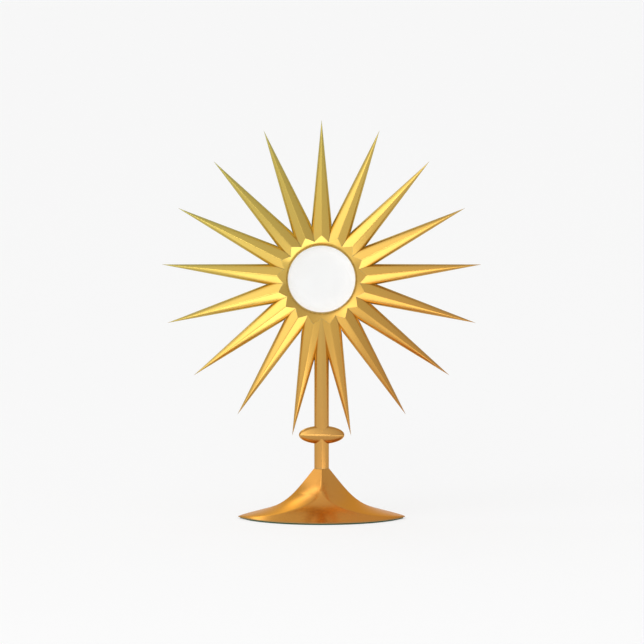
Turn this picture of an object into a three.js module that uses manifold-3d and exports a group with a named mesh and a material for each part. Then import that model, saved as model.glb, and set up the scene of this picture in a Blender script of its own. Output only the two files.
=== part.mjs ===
// Monstrance: a gilt-brass altar vessel that shows the Host in a sunburst of seventeen rays.
// Millimetres, +Z up, front towards -Y. It rests on its felt at z = 0, centred on x = 0, y = 0.
import * as THREE from "three";
import Module from "manifold-3d";
import { mergeVertices } from "three/addons/utils/BufferGeometryUtils.js";

const wasm = await Module();
wasm.setup();

// ---- sunburst ----
const SUN_Z = 240.5;
const RAY_COUNT = 17;
const RAY_PITCH = (2 * Math.PI) / RAY_COUNT;
const RAY_TIP_R = 160;
const RAY_EDGE_SLOPE = 0.0966;
const RIM_HALF = 0.8;
// The worked relief rises steeply for EDGE_BAND from an edge, then more gently.
const EDGE_BAND = 2.2;
const EDGE_STEEPNESS = 1.35;
const INNER_STEEPNESS = 0.58;
const REAR_SLOPE = 0.21;
const MITRE_GAP = 0.15;

// ---- case behind the rays ----
const OPENING_R = 33.65;
const CASE_FRONT_Y = 2.8;
const CASE_LIP_BACK_Y = 4.8;
const CASE_BACK_Y = 18;
const CASE_BORE_R = 40.8;
const CASE_OUTER_R = 44;
const CASE_LIP_R = 35.2;
const FLANGE_R = 54;
const FLANGE_FRONT_Y = 3.3;
const FLANGE_BACK_Y = 5.8;
const SEAT_Y = 3.0;
const TONGUE_HALF = 5.6;
const TONGUE_END_R = 76;
const KEYWAY_HALF = 2.6;
const KEYWAY_R = 42.6;
const FIT_GAP = 0.3;

// ---- screws ----
const SCREW_CIRCLE_R = 49.3;
const SCREW_R = 1.5;
const SCREW_HEAD_R = 2.6;
const SCREW_HEAD_HIGH = 1.6;
const SCREW_REACH = 6;
const STEM_SCREW_OUT_R = 68;
const BEZEL_SCREW_CIRCLE_R = 38.9;
const BEZEL_SCREW_R = 0.8;
const BEZEL_SCREW_HEAD_R = 1.5;
const BEZEL_SCREW_RAYS = [0, 6, 11];

// ---- bezel, glass and gasket ----
const BEZEL_LIP_BACK_Y = 0.6;
const REBATE_R = 37.1;
const GLASS_R = 36.9;
const GLASS_FRONT_Y = 0.7;
const GLASS_BACK_Y = 2.2;
const GASKET_BACK_Y = 2.7;

// ---- luna: the capsule that carries the Host ----
const LUNA_R = 40.6;
const LUNA_BORE_R = 36.6;
const LUNA_LIP_R = 34.4;
const LUNA_FRONT_Y = 5.3;
const LUNA_FLANGE_FRONT_Y = 18.2;
const LUNA_FLANGE_BACK_Y = 20.2;
const HOST_R = 35;
const HOST_FRONT_Y = 10.0;
const HOST_THICK = 1.1;
const LUNETTE_IN_R = 34.2;
const LUNETTE_OUT_R = 36.3;
const LUNETTE_FRONT_Y = 9.0;
const LUNETTE_BACK_Y = 12.1;
const LUNETTE_ARC = (Math.PI * 4) / 3;

// ---- luna door and hinge ----
const DOOR_FRONT_Y = 20.5;
const DOOR_BACK_Y = 23.3;
const DOOR_R = 43.4;
const DOOR_LIP_R = 34.5;
const DOOR_GLASS_R = 37;
const DOOR_GLASS_BACK_Y = 22.1;
const HINGE_X = 47;
const HINGE_Y = (DOOR_FRONT_Y + DOOR_BACK_Y) / 2;
const BARREL_R = 2.3;
const PIN_R = 1.0;
const DOOR_BARREL_HALF = 5;
const BARREL_END = 10;

// ---- stem and knop ----
const STEM_HALF = 7.3;
const ROD_R = 3;
const ROD_BORE_R = 3.4;
const KNOP_Z = 84;
const KNOP_HALF_WIDE = 22.7;
const KNOP_HALF_HIGH = 9.35;
const KNOP_HALF_DEEP = 9.0;
const KNOP_WEB_HALF = 2.4;
const ROD_TOP_Z = 132;

// ---- foot ----
const FOOT_TOP_Z = 50;
const FOOT_FORK_Z = 30;
const FOOT_RIM_Z = 2.2;
const FOOT_BOTTOM_Z = 1.5;
const FOOT_HALF_WIDE = 83.5;
const FOOT_HALF_DEEP = 60;
const FOOT_WALL = 3;
const LENS_OFFSET = (FOOT_HALF_WIDE ** 2 - FOOT_HALF_DEEP ** 2) / (2 * FOOT_HALF_DEEP);
const LENS_R = FOOT_HALF_DEEP + LENS_OFFSET;
const BASE_PLATE_INSET = 12;
const BASE_PLATE_TOP_Z = 4.6;
const FELT_THICK = 1.4;
const BOSS_R = 12;
const BOSS_TOP_Z = 11;
const NUT_POCKET_R = 8.6;
const NUT_POCKET_Z = 6.6;

// ---- finishes ----
const finish = (color, roughness, metalness) =>
  new THREE.MeshStandardMaterial({ color, roughness, metalness });
const gilt = () => finish(0xd9a441, 0.28, 1);
const pinBrass = () => finish(0xc4953a, 0.28, 1);
const steel = () => finish(0xb8bcc0, 0.4, 1);
const castIron = () => finish(0x7d7f80, 0.6, 1);
const rubber = () => finish(0x2a2624, 0.9, 0);
const felt = () => finish(0x1f4a31, 1, 0);
const bread = () => finish(0xfbf9f4, 0.85, 0);
const clearGlass = () =>
  new THREE.MeshStandardMaterial({ color: 0xf2f6f5, roughness: 0.05, transparent: true, opacity: 0.15 });

const group = new THREE.Group();
group.name = "monstrance";

// A closed solid from any closed geometry, whichever way round its faces are.
function solid(geometry) {
  const bare = new THREE.BufferGeometry();
  const loose = geometry.index ? geometry.toNonIndexed() : geometry;
  bare.setAttribute("position", loose.getAttribute("position"));
  const merged = mergeVertices(bare, 1e-4);
  const index = merged.index.array;
  const faces = [];
  for (let i = 0; i < index.length; i += 3) {
    const [a, b, c] = [index[i], index[i + 1], index[i + 2]];
    if (a !== b && b !== c && a !== c) faces.push(a, b, c);
  }
  const build = (list) =>
    new wasm.Manifold(
      new wasm.Mesh({
        numProp: 3,
        vertProperties: new Float32Array(merged.attributes.position.array),
        triVerts: new Uint32Array(list),
      }),
    );
  const made = build(faces);
  if (made.volume() >= 0) return made;
  for (let i = 0; i < faces.length; i += 3) [faces[i + 1], faces[i + 2]] = [faces[i + 2], faces[i + 1]];
  return build(faces);
}

function add(name, made, material) {
  const mesh = made.getMesh();
  const geometry = new THREE.BufferGeometry();
  geometry.setAttribute("position", new THREE.BufferAttribute(new Float32Array(mesh.vertProperties), 3));
  geometry.setIndex(new THREE.BufferAttribute(new Uint32Array(mesh.triVerts), 1));
  const flat = geometry.toNonIndexed();
  flat.computeVertexNormals();
  const piece = new THREE.Mesh(flat, material);
  piece.name = name;
  group.add(piece);
}

// A body turned about an axis parallel to Y through the sun's centre; profile points are [radius, y].
function turned(profile, segments = 48) {
  const points = [...profile, profile[0]].map(([r, y]) => new THREE.Vector2(r, y));
  return solid(new THREE.LatheGeometry(points, segments).translate(0, 0, SUN_Z));
}

// A body turned about Z; profile points are [radius, z].
function turnedUpright(profile, segments = 32) {
  const points = [...profile, profile[0]].map(([r, z]) => new THREE.Vector2(r, z));
  return solid(new THREE.LatheGeometry(points, segments).rotateX(Math.PI / 2));
}

// A plan in x and z (about the sun's centre) pushed along Y from y0 to y1.
function sunPrism(plan, y0, y1) {
  const shape = new THREE.Shape(plan.map(([x, z]) => new THREE.Vector2(x, z)));
  const g = new THREE.ExtrudeGeometry(shape, { depth: y1 - y0, bevelEnabled: false });
  return solid(g.rotateX(Math.PI / 2).translate(0, y1, SUN_Z));
}

function block(x0, x1, y0, y1, z0, z1) {
  const g = new THREE.BoxGeometry(x1 - x0, y1 - y0, z1 - z0);
  return solid(g.translate((x0 + x1) / 2, (y0 + y1) / 2, (z0 + z1) / 2));
}

// A rod along Y at a point of the sun's face.
function rodAlongY(x, z, r, y0, y1, segments = 16) {
  const rod = new THREE.CylinderGeometry(r, r, y1 - y0, segments);
  return solid(rod.translate(x, (y0 + y1) / 2, SUN_Z + z));
}

// A round plate facing along Y.
const disc = (r, y0, y1, segments = 48) => turned([[0, y0], [r, y0], [r, y1], [0, y1]], segments);

const onCircle = (radius, angle) => [radius * Math.sin(angle), radius * Math.cos(angle)];

// The zig-zag where the bezel's cone meets the flanks of the rays: its radius at an angle off a ridge.
function zigzagR(offRidge) {
  const edgeAngle = Math.atan(RAY_EDGE_SLOPE);
  return (RAY_TIP_R * Math.sin(edgeAngle) + OPENING_R) / (1 + Math.sin(edgeAngle + Math.abs(offRidge)));
}

function zigzagPlan(clearance) {
  const stepsPerFlank = 3;
  const steps = RAY_COUNT * 2 * stepsPerFlank;
  const plan = [];
  for (let i = 0; i < steps; i++) {
    const angle = (i / steps) * 2 * Math.PI;
    const offRidge = angle - Math.round(angle / RAY_PITCH) * RAY_PITCH;
    plan.push(onCircle(zigzagR(offRidge) + clearance, angle));
  }
  return plan;
}

// Square bar set on its diagonal, from z0 to z1.
function stemBar(half, z0, z1) {
  const shape = new THREE.Shape([
    new THREE.Vector2(half, 0),
    new THREE.Vector2(0, half),
    new THREE.Vector2(-half, 0),
    new THREE.Vector2(0, -half),
  ]);
  const bar = new THREE.ExtrudeGeometry(shape, { depth: z1 - z0, bevelEnabled: false });
  return solid(bar.translate(0, 0, z0));
}

// Height of the relief at a distance in from its edge.
function reliefAt(distance) {
  const inner = EDGE_BAND * (EDGE_STEEPNESS - INNER_STEEPNESS) + distance * INNER_STEEPNESS;
  return RIM_HALF + Math.min(distance * EDGE_STEEPNESS, inner);
}

// One ray pointing up from the sun's centre, its front flanks rising from start at one slope,
// with a shallower pair behind. Two of these, one steep and one gentle, intersect to make the ray.
function rayBlank(start, steepness) {
  const edgeAngle = Math.atan(RAY_EDGE_SLOPE);
  const toEdge = (x, z) => (RAY_TIP_R - z) * Math.sin(edgeAngle) - Math.abs(x) * Math.cos(edgeAngle);
  const rootZ = MITRE_GAP / Math.sin(RAY_PITCH / 2);
  const halfPitchSlope = Math.tan(RAY_PITCH / 2);
  const valleyZ = (RAY_TIP_R * RAY_EDGE_SLOPE + rootZ * halfPitchSlope) / (RAY_EDGE_SLOPE + halfPitchSlope);
  const valleyX = (RAY_TIP_R - valleyZ) * RAY_EDGE_SLOPE;
  const front = (x, z) => [x, -start - steepness * toEdge(x, z), z];
  const rear = (x, z) => [x, RIM_HALF + REAR_SLOPE * toEdge(x, z), z];
  const [tipF, tipB] = [front(0, RAY_TIP_R), rear(0, RAY_TIP_R)];
  const [rootF, rootB] = [front(0, rootZ), rear(0, rootZ)];
  const [leftF, leftB] = [front(-valleyX, valleyZ), rear(-valleyX, valleyZ)];
  const [rightF, rightB] = [front(valleyX, valleyZ), rear(valleyX, valleyZ)];
  const triangles = [
    [tipF, rootF, leftF],
    [tipF, rightF, rootF],
    [tipB, leftB, rootB],
    [tipB, rootB, rightB],
    [tipF, leftF, leftB],
    [tipF, leftB, tipB],
    [tipF, rightB, rightF],
    [tipF, tipB, rightB],
    [leftF, rootF, rootB],
    [leftF, rootB, leftB],
    [rightF, rootB, rootF],
    [rightF, rightB, rootB],
  ];
  const g = new THREE.BufferGeometry();
  g.setAttribute("position", new THREE.Float32BufferAttribute(triangles.flat(2), 3));
  return g;
}

function screwCutter(x, z, reach) {
  return rodAlongY(x, z, SCREW_R + 0.15, FLANGE_BACK_Y - reach, FLANGE_BACK_Y + 1, 10);
}

// Pan-headed screw standing on the flange, with a slot across its head.
function slottedScrew(x, z, angle) {
  const head = rodAlongY(x, z, SCREW_HEAD_R, FLANGE_BACK_Y + 0.05, FLANGE_BACK_Y + SCREW_HEAD_HIGH, 14);
  const shank = rodAlongY(x, z, SCREW_R, FLANGE_BACK_Y - SCREW_REACH, FLANGE_BACK_Y + 0.1, 10);
  const slot = new THREE.BoxGeometry(2 * SCREW_HEAD_R + 1, 1.6, 0.7).rotateY(angle);
  return head.add(shank).subtract(solid(slot.translate(x, FLANGE_BACK_Y + SCREW_HEAD_HIGH, SUN_Z + z)));
}

const caseCutter = disc(CASE_OUTER_R + FIT_GAP, CASE_FRONT_Y - FIT_GAP, 40);
const seatCutter = disc(FLANGE_R + 0.5, SEAT_Y, 40);
const bezelCutter = sunPrism(zigzagPlan(FIT_GAP), -60, CASE_FRONT_Y + 1);

function addRays() {
  const gentleStart = RIM_HALF + EDGE_BAND * (EDGE_STEEPNESS - INNER_STEEPNESS);
  const steepBlank = solid(rayBlank(RIM_HALF, EDGE_STEEPNESS));
  const blank = steepBlank.intersect(solid(rayBlank(gentleStart, INNER_STEEPNESS)));
  const stemClear = stemBar(STEM_HALF + FIT_GAP * Math.SQRT2, 60, 240);
  for (let i = 0; i < RAY_COUNT; i++) {
    const angle = i * RAY_PITCH;
    const [x, z] = onCircle(SCREW_CIRCLE_R, angle);
    let ray = blank.rotate([0, THREE.MathUtils.radToDeg(angle), 0]).translate([0, 0, SUN_Z]);
    ray = ray.subtract(bezelCutter).subtract(caseCutter).subtract(seatCutter);
    if (Math.abs(angle - Math.PI) < RAY_PITCH) ray = ray.subtract(stemClear);
    ray = ray.subtract(screwCutter(x, z, SCREW_REACH + 0.5));
    const tag = String(i + 1).padStart(2, "0");
    add("ray_" + tag, ray, gilt());
    add("ray_screw_" + tag, slottedScrew(x, z, angle + i * 0.7), steel());
  }
}

// Round case, open behind, with the flange that takes the ray screws and the tongue that takes the stem.
function addGloryRing() {
  const wall = turned([
    [CASE_LIP_R, CASE_FRONT_Y],
    [CASE_OUTER_R, CASE_FRONT_Y],
    [CASE_OUTER_R, CASE_BACK_Y],
    [CASE_BORE_R, CASE_BACK_Y],
    [CASE_BORE_R, CASE_LIP_BACK_Y],
    [CASE_LIP_R, CASE_LIP_BACK_Y],
  ]);
  const flange = turned([
    [CASE_OUTER_R - 1, FLANGE_FRONT_Y],
    [FLANGE_R, FLANGE_FRONT_Y],
    [FLANGE_R, FLANGE_BACK_Y],
    [CASE_OUTER_R - 1, FLANGE_BACK_Y],
  ]);
  const tongue = block(
    -TONGUE_HALF, TONGUE_HALF, FLANGE_FRONT_Y, FLANGE_BACK_Y,
    SUN_Z - TONGUE_END_R, SUN_Z - CASE_OUTER_R + 1,
  );
  let ring = wall.add(flange).add(tongue);
  ring = ring.subtract(
    block(-KEYWAY_HALF, KEYWAY_HALF, CASE_LIP_BACK_Y + 0.5, CASE_BACK_Y + 1, SUN_Z - KEYWAY_R, SUN_Z - 38),
  );
  for (let i = 0; i < RAY_COUNT; i++) {
    const [x, z] = onCircle(SCREW_CIRCLE_R, i * RAY_PITCH);
    ring = ring.subtract(screwCutter(x, z, 4));
  }
  ring = ring.subtract(screwCutter(0, -SCREW_CIRCLE_R, 4)).subtract(screwCutter(0, -STEM_SCREW_OUT_R, 4));
  for (const i of BEZEL_SCREW_RAYS) ring = ring.subtract(bezelScrewCutter(i));
  add("glory_ring", ring, gilt());
}

function bezelScrewCutter(rayIndex) {
  const [x, z] = onCircle(BEZEL_SCREW_CIRCLE_R, rayIndex * RAY_PITCH);
  return rodAlongY(x, z, BEZEL_SCREW_R + 0.15, -1.6, CASE_LIP_BACK_Y + 1, 10).add(
    rodAlongY(x, z, BEZEL_SCREW_HEAD_R + 0.15, CASE_LIP_BACK_Y - 1.1, CASE_LIP_BACK_Y + 1, 10),
  );
}

function addBezel() {
  const coneEndR = 46;
  const cone = turned([
    [OPENING_R, -RIM_HALF],
    [OPENING_R + EDGE_BAND, -reliefAt(EDGE_BAND)],
    [coneEndR, -reliefAt(coneEndR - OPENING_R)],
    [coneEndR, CASE_FRONT_Y - 0.1],
    [REBATE_R, CASE_FRONT_Y - 0.1],
    [REBATE_R, BEZEL_LIP_BACK_Y],
    [OPENING_R, BEZEL_LIP_BACK_Y],
  ], 68);
  let bezel = cone.intersect(sunPrism(zigzagPlan(0), -40, 20));
  for (const i of BEZEL_SCREW_RAYS) bezel = bezel.subtract(bezelScrewCutter(i));
  add("front_bezel", bezel, gilt());
  BEZEL_SCREW_RAYS.forEach((rayIndex, i) => {
    const [x, z] = onCircle(BEZEL_SCREW_CIRCLE_R, rayIndex * RAY_PITCH);
    const screw = rodAlongY(x, z, BEZEL_SCREW_R, -1.3, CASE_LIP_BACK_Y - 0.3, 10).add(
      rodAlongY(x, z, BEZEL_SCREW_HEAD_R, CASE_LIP_BACK_Y - 1.0, CASE_LIP_BACK_Y - 0.15, 10),
    );
    add("bezel_screw_" + (i + 1), screw, steel());
  });
}

function addFrontGlass() {
  add("front_glass", disc(GLASS_R, GLASS_FRONT_Y, GLASS_BACK_Y), clearGlass());
  const gasketFront = GLASS_BACK_Y + 0.05;
  const gasket = turned([
    [CASE_LIP_R, gasketFront],
    [GLASS_R, gasketFront],
    [GLASS_R, GASKET_BACK_Y],
    [CASE_LIP_R, GASKET_BACK_Y],
  ]);
  add("glass_gasket", gasket, rubber());
}

function barrel(z0, z1, r) {
  const g = new THREE.CylinderGeometry(r, r, z1 - z0, 16).rotateX(Math.PI / 2);
  return solid(g.translate(HINGE_X, HINGE_Y, SUN_Z + (z0 + z1) / 2));
}

// Capsule: a ring filling the bore of the case, keyed at the bottom, with two hinge barrels behind.
function addLunaBody() {
  let body = turned([
    [LUNA_LIP_R, LUNA_FRONT_Y],
    [LUNA_R, LUNA_FRONT_Y],
    [LUNA_R, LUNA_FLANGE_FRONT_Y],
    [CASE_OUTER_R, LUNA_FLANGE_FRONT_Y],
    [CASE_OUTER_R, LUNA_FLANGE_BACK_Y],
    [LUNA_BORE_R, LUNA_FLANGE_BACK_Y],
    [LUNA_BORE_R, LUNA_FRONT_Y + 1],
    [LUNA_LIP_R, LUNA_FRONT_Y + 1],
  ]);
  const keyFoot = SUN_Z - KEYWAY_R + 0.4;
  body = body.add(block(-2.2, 2.2, LUNA_FRONT_Y + 0.6, LUNA_FLANGE_FRONT_Y + 0.5, keyFoot, SUN_Z - 39.5));
  const inner = DOOR_BARREL_HALF + 0.3;
  for (const [low, high] of [[-BARREL_END, -inner], [inner, BARREL_END]]) {
    const web = block(42, HINGE_X, LUNA_FLANGE_FRONT_Y, LUNA_FLANGE_BACK_Y, SUN_Z + low, SUN_Z + high);
    body = body.add(web).add(barrel(low, high, BARREL_R));
  }
  body = body.subtract(barrel(-BARREL_END - 1, BARREL_END + 1, PIN_R + 0.1));
  add("luna_body", body, gilt());
  add("luna_glass", disc(LUNA_BORE_R - 0.2, LUNA_FRONT_Y + 1.1, LUNA_FRONT_Y + 2.6), clearGlass());
}

// Crescent clip with a groove for the edge of the Host, open at the top.
function addLunette() {
  const groove = 0.15;
  const profile = [
    [LUNETTE_IN_R, LUNETTE_FRONT_Y],
    [LUNETTE_OUT_R, LUNETTE_FRONT_Y],
    [LUNETTE_OUT_R, LUNETTE_BACK_Y],
    [LUNETTE_IN_R, LUNETTE_BACK_Y],
    [LUNETTE_IN_R, HOST_FRONT_Y + HOST_THICK + groove],
    [HOST_R + 0.2, HOST_FRONT_Y + HOST_THICK + groove],
    [HOST_R + 0.2, HOST_FRONT_Y - groove],
    [LUNETTE_IN_R, HOST_FRONT_Y - groove],
  ];
  const mouth = Math.PI - LUNETTE_ARC / 2;
  const wedge = [[0, 0], onCircle(60, -mouth), onCircle(90, 0), onCircle(60, mouth)];
  add("lunette", turned(profile, 60).subtract(sunPrism(wedge, 0, 20)), gilt());
  add("host", disc(HOST_R, HOST_FRONT_Y, HOST_FRONT_Y + HOST_THICK, 60), bread());
}

function addLunaDoor() {
  let door = turned([
    [DOOR_LIP_R, DOOR_GLASS_BACK_Y],
    [DOOR_GLASS_R + 0.2, DOOR_GLASS_BACK_Y],
    [DOOR_GLASS_R + 0.2, DOOR_FRONT_Y],
    [DOOR_R, DOOR_FRONT_Y],
    [DOOR_R, DOOR_BACK_Y],
    [DOOR_LIP_R, DOOR_BACK_Y],
  ]);
  const [low, high] = [SUN_Z - DOOR_BARREL_HALF, SUN_Z + DOOR_BARREL_HALF];
  door = door.add(block(42, HINGE_X, DOOR_FRONT_Y, DOOR_BACK_Y, low, high));
  door = door.add(barrel(-DOOR_BARREL_HALF, DOOR_BARREL_HALF, BARREL_R));
  door = door.subtract(barrel(-BARREL_END, BARREL_END, PIN_R + 0.1));
  door = door.add(block(-48.5, -42.5, DOOR_FRONT_Y + 0.4, DOOR_BACK_Y - 0.4, SUN_Z - 4, SUN_Z + 4));
  add("luna_door", door, gilt());
  add("door_glass", disc(DOOR_GLASS_R, DOOR_FRONT_Y + 0.1, DOOR_GLASS_BACK_Y - 0.1), clearGlass());
  const pin = barrel(-BARREL_END - 0.8, BARREL_END + 0.8, PIN_R)
    .add(barrel(BARREL_END + 0.3, BARREL_END + 1.3, 1.8))
    .add(barrel(-BARREL_END - 1.3, -BARREL_END - 0.3, 1.8));
  add("hinge_pin", pin, pinBrass());
}

const uprightRod = (r, z0, z1, sides) => turnedUpright([[0, z0], [r, z0], [r, z1], [0, z1]], sides);
const rodBore = (z0, z1) => uprightRod(ROD_BORE_R, z0, z1, 16);

// Upper stem, tapped for the rod below, cut flat behind for the tongue and ended at the bezel.
function addUpperStem() {
  let stem = stemBar(STEM_HALF, KNOP_Z + KNOP_WEB_HALF, SUN_Z - 30);
  stem = stem.subtract(bezelCutter).subtract(caseCutter).subtract(seatCutter);
  stem = stem.subtract(block(-20, 20, SEAT_Y, 20, SUN_Z - TONGUE_END_R - 0.5, SUN_Z));
  stem = stem.subtract(rodBore(KNOP_Z, ROD_TOP_Z + 1));
  for (const radius of [SCREW_CIRCLE_R, STEM_SCREW_OUT_R]) {
    stem = stem.subtract(screwCutter(0, -radius, SCREW_REACH + 0.5));
  }
  add("upper_stem", stem, gilt());
  [SCREW_CIRCLE_R, STEM_SCREW_OUT_R].forEach((radius, i) => {
    const screw = slottedScrew(0, -radius, 0.5 + i);
    add("stem_screw_" + (i + 1), screw, steel());
  });
}

function addLowerStem() {
  const bar = stemBar(STEM_HALF, FOOT_TOP_Z + 0.1, KNOP_Z - KNOP_WEB_HALF);
  add("lower_stem", bar.subtract(rodBore(FOOT_TOP_Z - 1, KNOP_Z)), gilt());
}

// Closed skin over rings that all have the same number of points; points of a ring may coincide.
function skin(rings) {
  const triangles = [];
  const centre = (ring) => ring.reduce((sum, p) => sum.map((v, k) => v + p[k] / ring.length), [0, 0, 0]);
  const count = rings[0].length;
  for (let j = 0; j < rings.length - 1; j++) {
    for (let i = 0; i < count; i++) {
      const k = (i + 1) % count;
      triangles.push([rings[j][i], rings[j][k], rings[j + 1][i]]);
      triangles.push([rings[j][k], rings[j + 1][k], rings[j + 1][i]]);
    }
  }
  const [first, last] = [rings[0], rings[rings.length - 1]];
  const [low, high] = [centre(first), centre(last)];
  for (let i = 0; i < count; i++) {
    const k = (i + 1) % count;
    triangles.push([low, first[k], first[i]]);
    triangles.push([high, last[i], last[k]]);
  }
  const g = new THREE.BufferGeometry();
  g.setAttribute("position", new THREE.Float32BufferAttribute(triangles.flat(2), 3));
  return solid(g);
}

// Knop: rhombic sections along X whose height and depth follow an ellipse.
function addKnop() {
  const steps = 20;
  const rings = [];
  for (let i = 1; i < steps; i++) {
    const x = -KNOP_HALF_WIDE * Math.cos((i / steps) * Math.PI);
    const share = Math.sqrt(1 - (x / KNOP_HALF_WIDE) ** 2);
    const [high, deep] = [KNOP_HALF_HIGH * share, KNOP_HALF_DEEP * share];
    const belly = 0.54;
    rings.push([
      [x, -deep, KNOP_Z], [x, -deep * belly, KNOP_Z + high * belly], [x, 0, KNOP_Z + high],
      [x, deep * belly, KNOP_Z + high * belly], [x, deep, KNOP_Z], [x, deep * belly, KNOP_Z - high * belly],
      [x, 0, KNOP_Z - high], [x, -deep * belly, KNOP_Z - high * belly],
    ]);
  }
  let knop = skin(rings);
  const socket = STEM_HALF + FIT_GAP * 1.2;
  knop = knop.subtract(stemBar(socket, KNOP_Z + KNOP_WEB_HALF - 0.1, KNOP_Z + 20));
  knop = knop.subtract(stemBar(socket, KNOP_Z - 20, KNOP_Z - KNOP_WEB_HALF + 0.1));
  add("knop", knop.subtract(rodBore(KNOP_Z - 5, KNOP_Z + 5)), gilt());
}

// ---- foot outline, as curves of height ----
const footSide = new THREE.CubicBezierCurve(
  new THREE.Vector2(STEM_HALF + 0.4, FOOT_TOP_Z), new THREE.Vector2(32, 19.8),
  new THREE.Vector2(35.2, 11.7), new THREE.Vector2(FOOT_HALF_WIDE, FOOT_RIM_Z),
);

// The curve's first coordinate where its second one is z (the curves fall steadily).
function widthAt(curve, z) {
  let [low, high] = [0, 1];
  for (let i = 0; i < 40; i++) {
    const mid = (low + high) / 2;
    if (curve.getPoint(mid).y > z) low = mid;
    else high = mid;
  }
  return curve.getPoint(low).x;
}

// Depth gained per width lost along a flank: square at the stem, steep near the tips.
function flankSteepness(z) {
  const fallen = (FOOT_TOP_Z - z) / (FOOT_TOP_Z - FOOT_RIM_Z);
  return 1 + 3.4 * Math.max(fallen, 0) ** 5;
}

const FORK_DEPTH = flankSteepness(FOOT_FORK_Z) * widthAt(footSide, FOOT_FORK_Z);
const footFront = new THREE.CubicBezierCurve(
  new THREE.Vector2(FORK_DEPTH, FOOT_FORK_Z), new THREE.Vector2(30, 21),
  new THREE.Vector2(42, 11), new THREE.Vector2(FOOT_HALF_DEEP, FOOT_RIM_Z),
);

// How far the lens-shaped front falls back from its middle at x.
const lensFall = (x) => LENS_R - Math.sqrt(LENS_R ** 2 - x * x);

// Where a flank meets the front facet, for a section of this width, depth and steepness.
function ridgeAt(wide, deep, steep) {
  let [low, high] = [0, wide];
  for (let i = 0; i < 40; i++) {
    const mid = (low + high) / 2;
    if (steep * (wide - mid) > deep - lensFall(mid)) low = mid;
    else high = mid;
  }
  return low;
}

// Section of the foot at height z: four corners above the fork, a lens-fronted hexagon below it.
function footSection(z, inset) {
  const arc = 10;
  const wide = widthAt(footSide, z) - inset;
  const steep = flankSteepness(z);
  const below = z < FOOT_FORK_Z - 0.01;
  const deep = below ? widthAt(footFront, z) - inset : steep * wide;
  const ridgeX = below ? ridgeAt(wide, deep, steep) : 0;
  const front = [];
  for (let i = 0; i <= arc; i++) {
    const x = ridgeX * (1 - (2 * i) / arc);
    front.push([x, -Math.max(deep - lensFall(x), 0)]);
  }
  const back = front.map(([x, y]) => [-x, -y]);
  return [[wide, 0], ...front, [-wide, 0], ...back].map(([x, y]) => [x, y, z]);
}

function lensPlan(inset) {
  const steps = 16;
  const wide = FOOT_HALF_WIDE - inset * 1.6;
  const radius = LENS_R - inset;
  const half = [];
  for (let i = 0; i < steps; i++) {
    const x = wide * (1 - (2 * i) / steps);
    half.push([x, -Math.max(Math.sqrt(radius * radius - x * x) - LENS_OFFSET, 0)]);
  }
  return [...half, ...half.map(([x, y]) => [-x, -y])];
}

function lensPlate(inset, z0, z1) {
  const shape = new THREE.Shape(lensPlan(inset).map(([x, y]) => new THREE.Vector2(x, y)));
  const plate = new THREE.ExtrudeGeometry(shape, { depth: z1 - z0, bevelEnabled: false });
  return solid(plate.translate(0, 0, z0));
}

function footLevels(top) {
  const below = [27.5, 25, 22.5, 20, 17.5, 15, 12.5, 10, 8, 6.4, 5.1, 4.1, 3.3, 2.7];
  return [top, ...[46, 42, 38, 34, FOOT_FORK_Z, ...below].filter((z) => z < top - 1), FOOT_RIM_Z];
}

// Hollow casting with a boss under its crown that the rod clamps.
function addFootShell() {
  const rings = footLevels(FOOT_TOP_Z).map((z) => footSection(z, 0));
  const rimFoot = rings[rings.length - 1].map(([x, y]) => [x, y, FOOT_BOTTOM_Z]);
  const outside = skin([...rings, rimFoot]);
  const [roof, floorZ, drop] = [39, BASE_PLATE_TOP_Z + 0.3, 3];
  const cavityRings = footLevels(roof).filter((z) => z > floorZ + drop).map((z) =>
    footSection(z, FOOT_WALL).map(([x, y, h]) => [x, y, h - drop]),
  );
  const cavityFoot = cavityRings[cavityRings.length - 1].map(([x, y]) => [x, y, FOOT_BOTTOM_Z]);
  const plateRoom = lensPlate(BASE_PLATE_INSET - 0.4, FOOT_BOTTOM_Z - 1, floorZ);
  const cavity = skin([...cavityRings, cavityFoot]).add(plateRoom);
  const boss = uprightRod(10, BOSS_TOP_Z + 0.1, roof, 20);
  const shell = outside.subtract(cavity).add(boss).subtract(rodBore(0, FOOT_TOP_Z + 2));
  add("foot_shell", shell, gilt());
}

function addUnderside() {
  let plate = lensPlate(BASE_PLATE_INSET, FOOT_BOTTOM_Z, BASE_PLATE_TOP_Z);
  plate = plate.add(uprightRod(BOSS_R, 3, BOSS_TOP_Z, 24));
  plate = plate.subtract(uprightRod(NUT_POCKET_R, 0, NUT_POCKET_Z, 24));
  plate = plate.subtract(rodBore(0, 20));
  add("base_plate", plate, castIron());
  add("felt_pad", lensPlate(1.2, 0, FELT_THICK), felt());
}

function addTieRod() {
  add("tie_rod", uprightRod(ROD_R, 2.2, ROD_TOP_Z, 16), steel());
  const washer = turnedUpright([[ROD_BORE_R, 5.4], [7.6, 5.4], [7.6, 6.5], [ROD_BORE_R, 6.5]], 24);
  add("washer", washer, steel());
  const nut = uprightRod(5.8, 2.6, 5.3, 6).subtract(rodBore(0, 8));
  add("nut", nut, steel());
}

addRays();
addGloryRing();
addBezel();
addFrontGlass();
addLunaBody();
addLunette();
addLunaDoor();
addUpperStem();
addKnop();
addLowerStem();
addFootShell();
addUnderside();
addTieRod();

export default group;
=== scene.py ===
"""Looks of the sunburst monstrance: gilt brass, glass, the Host and green felt, on a plain pale floor.

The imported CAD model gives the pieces' places and sizes. Metres, +Z up, front towards -Y.
"""

import math

import bmesh
import bpy
import numpy as np
from mathutils import Matrix, Vector


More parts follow.
